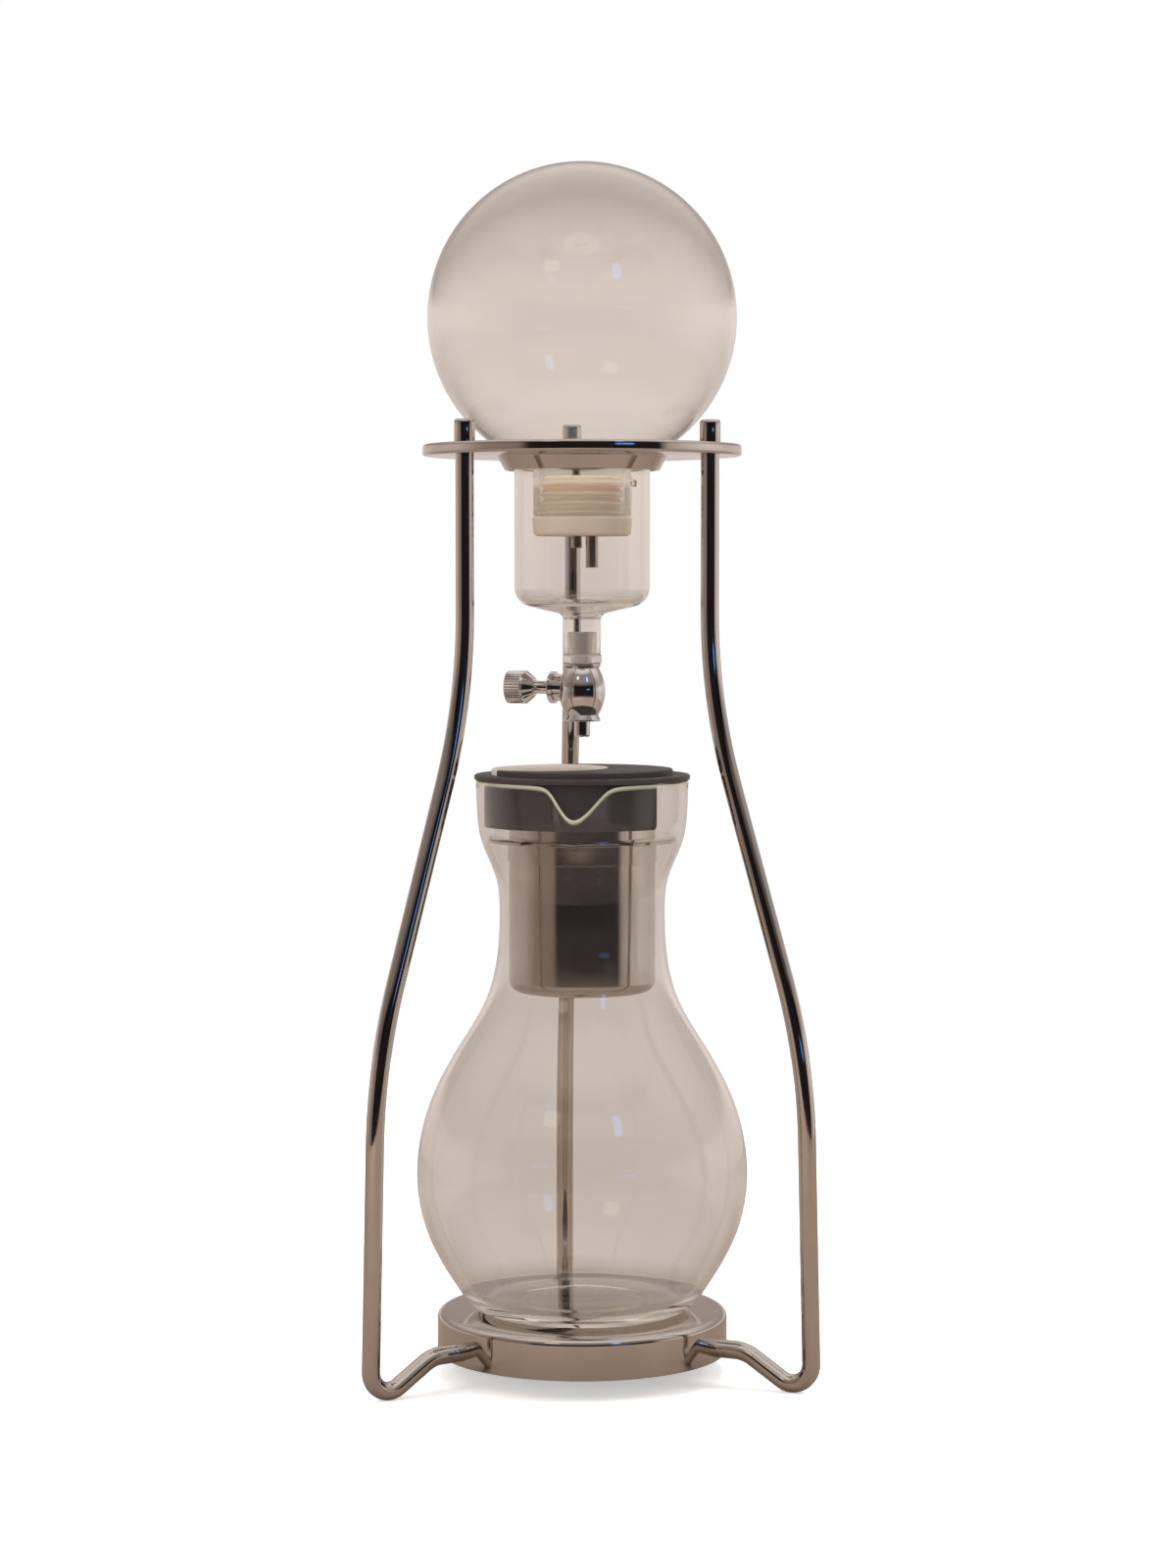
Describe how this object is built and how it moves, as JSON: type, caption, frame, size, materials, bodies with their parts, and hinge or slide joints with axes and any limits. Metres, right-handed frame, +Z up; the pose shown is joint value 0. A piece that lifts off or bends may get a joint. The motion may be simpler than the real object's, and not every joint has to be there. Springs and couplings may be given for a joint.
{
  "type": "cold drip coffee tower",
  "caption": "Wire stand on three rod feet with a glass water globe and drip cup in its ring, a needle tap, and a glass carafe with a strainer basket and lid on a round base.",
  "frame": {"origin": "on the tower's vertical axis, in the plane of the table that the three feet stand on", "axes": "+Z up along the tower's axis; -Y is the front, between two legs, where the carafe comes out; the rear leg is towards +Y"},
  "size_m": [0.1854, 0.1751, 0.5],
  "materials": {
    "stand_steel": "mirror-polished stainless steel",
    "rod_steel": "polished stainless rod",
    "clear_glass": "clear heat-proof glass",
    "milky_silicone": "translucent milky silicone",
    "tube_steel": "drawn stainless tube",
    "tap_chrome": "bright chrome",
    "black_rubber": "black O-ring rubber",
    "basket_steel": "polished sheet steel",
    "lid_dark": "fine matte dark grey moulding",
    "lid_light": "fine matte light grey moulding"
  },
  "bodies": {
    "stand": {"base_shell": "stand_steel", "base_plate": "stand_steel", "leg_rear": "rod_steel", "leg_left": "rod_steel", "leg_right": "rod_steel", "leg_spacers": "rod_steel", "leg_bolts": "rod_steel", "ring_plate": "stand_steel", "cap_nuts": "rod_steel"},
    "cup": {"drip_cup": "clear_glass"},
    "globe": {"water_globe": "clear_glass"},
    "stopper": {"globe_plug": "milky_silicone", "feed_tube": "tube_steel", "air_tube": "tube_steel"},
    "sleeve": {"tap_sleeve": "milky_silicone"},
    "tap": {"tap_inlet": "tap_chrome", "tap_body": "tap_chrome", "tap_nozzle": "tap_chrome", "tap_bonnet": "tap_chrome"},
    "packing": {"spindle_ring": "black_rubber"},
    "valve_stem": {"spindle": "tap_chrome", "knob": "tap_chrome"},
    "jug": {"carafe": "clear_glass"},
    "basket": {"basket_wall": "basket_steel", "basket_floor": "basket_steel", "basket_flange": "basket_steel"},
    "lid": {"lid_body": "lid_dark", "lid_disc": "lid_dark", "lid_insert": "lid_light"}
  },
  "joints": [
    {"name": "cup_lift", "type": "slide", "parent": "stand", "child": "cup", "axis": [0, 0, 1], "range_m": [0, 0.075]},
    {"name": "globe_lift", "type": "slide", "parent": "cup", "child": "globe", "axis": [0, 0, 1], "range_m": [0, 0.07]},
    {"name": "stopper_pull", "type": "slide", "parent": "globe", "child": "stopper", "axis": [0, 0, -1], "range_m": [0, 0.012]},
    {"name": "tap_pull", "type": "slide", "parent": "cup", "child": "sleeve", "axis": [0, 0, -1], "range_m": [0, 0.011]},
    {"name": "tap_swivel", "type": "hinge", "parent": "sleeve", "child": "tap", "pos_m": [0, 0, 0.285], "axis": [0, 0, 1], "continuous": true},
    {"name": "needle_advance", "type": "slide", "parent": "tap", "child": "packing", "axis": [-0.9239, 0.3827, 0], "range_m": [0, 0.0015]},
    {"name": "knob_turn", "type": "hinge", "parent": "packing", "child": "valve_stem", "pos_m": [0, 0, 0.2849], "axis": [-0.9239, 0.3827, 0], "range_deg": [0, 720]},
    {"name": "carafe_out", "type": "slide", "parent": "stand", "child": "jug", "axis": [0, -1, 0], "range_m": [0, 0.2]},
    {"name": "basket_lift", "type": "slide", "parent": "jug", "child": "basket", "axis": [0, 0, 1], "range_m": [0, 0.012]},
    {"name": "lid_turn", "type": "hinge", "parent": "basket", "child": "lid", "pos_m": [0, 0, 0.247], "axis": [0, 0, 1], "continuous": true}
  ],
  "couplings": [
    {"joint": "knob_turn", "follows": "needle_advance", "rad_per_m": 8377.6}
  ]
}
